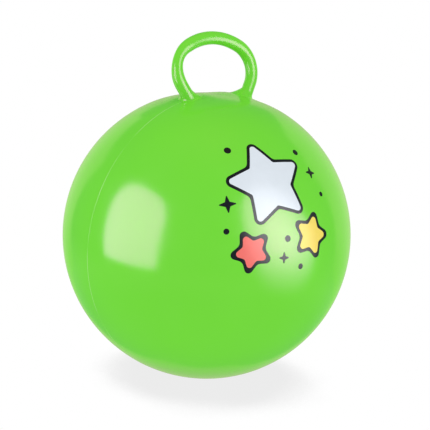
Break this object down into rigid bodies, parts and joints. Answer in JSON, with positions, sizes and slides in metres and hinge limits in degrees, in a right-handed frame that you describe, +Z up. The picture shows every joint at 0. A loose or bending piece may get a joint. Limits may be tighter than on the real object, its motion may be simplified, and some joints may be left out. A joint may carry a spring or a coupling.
{
  "type": "hopper ball",
  "caption": "Inflatable hopper ball: a soft hollow ball to sit and bounce on, with a flexible ring handle on top and a pull-out valve plug at the back.",
  "frame": {"origin": "on the ground, in the middle of the flat patch that the ball rests on", "axes": "+Z up; the printed front faces -Y; the handle's feet stand along X; the valve looks along +Y"},
  "size_m": [0.4499, 0.4496, 0.5383],
  "materials": {
    "skin_green": "gloss",
    "plug_white": "satin",
    "print_black": "gloss",
    "print_white": "gloss",
    "print_yellow": "gloss",
    "print_coral": "gloss"
  },
  "bodies": {
    "ball": {"ball_skin": "skin_green", "handle_root_left": "skin_green", "handle_root_right": "skin_green", "valve_sleeve": "skin_green"},
    "handle": {"handle_loop": "skin_green"},
    "plug": {"valve_plug": "plug_white"}
  },
  "joints": [
    {"name": "handle_flex", "type": "hinge", "parent": "ball", "child": "handle", "pos_m": [0, 0.00284, 0.44983], "axis": [1, 0, 0], "range_deg": [-18.5, 51.5], "stiffness_Nm_per_rad": 3, "deforming": ["handle_root_left", "handle_root_right"]},
    {"name": "plug_pull", "type": "slide", "parent": "ball", "child": "plug", "axis": [0, 1, 0], "range_m": [0, 0.03]}
  ]
}
